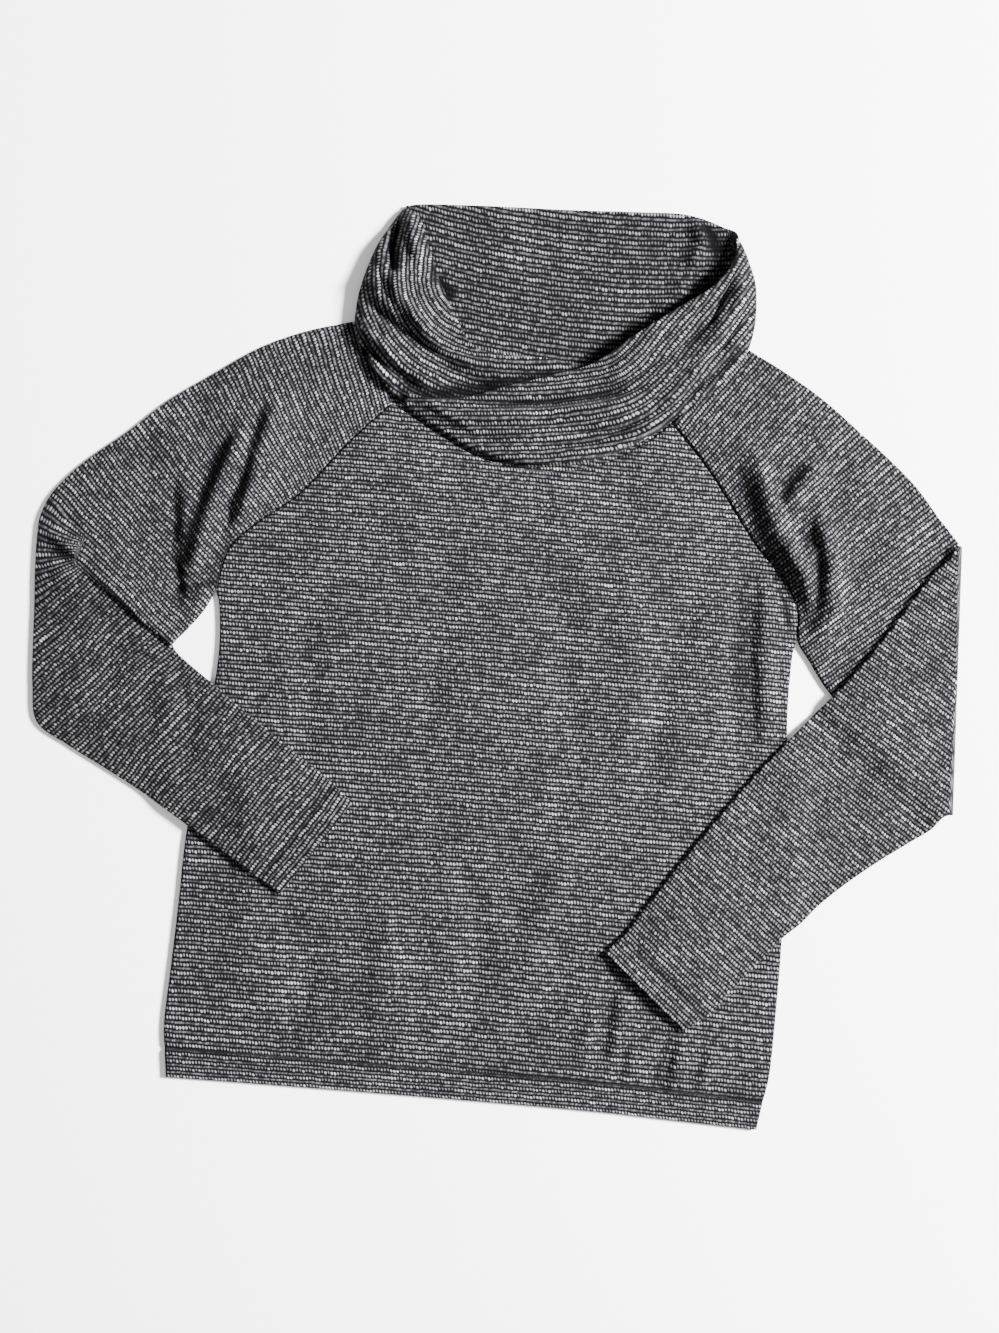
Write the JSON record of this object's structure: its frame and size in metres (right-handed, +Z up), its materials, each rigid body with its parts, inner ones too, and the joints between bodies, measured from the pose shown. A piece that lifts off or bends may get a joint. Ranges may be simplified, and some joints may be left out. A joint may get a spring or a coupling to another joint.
{
  "type": "crossover-collar raglan pullover laid flat",
  "caption": "Long-sleeved raglan pullover laid flat, front up, with a draped crossover collar, one sleeve bent at the elbow and the other folded across the front.",
  "frame": {"origin": "middle of the outline, on the floor under the garment", "axes": "+Z up out of the surface it lies on, +Y from the hem towards the neck along the body's middle line, +X to the viewer's right, which is the wearer's left"},
  "size_m": [0.8451, 0.8182, 0.0242],
  "materials": {
    "striped_knit": "dark navy and charcoal knit with close rows of pale heathered bead stitches, matt"
  },
  "bodies": {
    "root": {"back_body": "striped_knit", "front_body": "striped_knit", "sleeve_right": "striped_knit", "sleeve_left": "striped_knit", "collar": "striped_knit"}
  },
  "joints": []
}
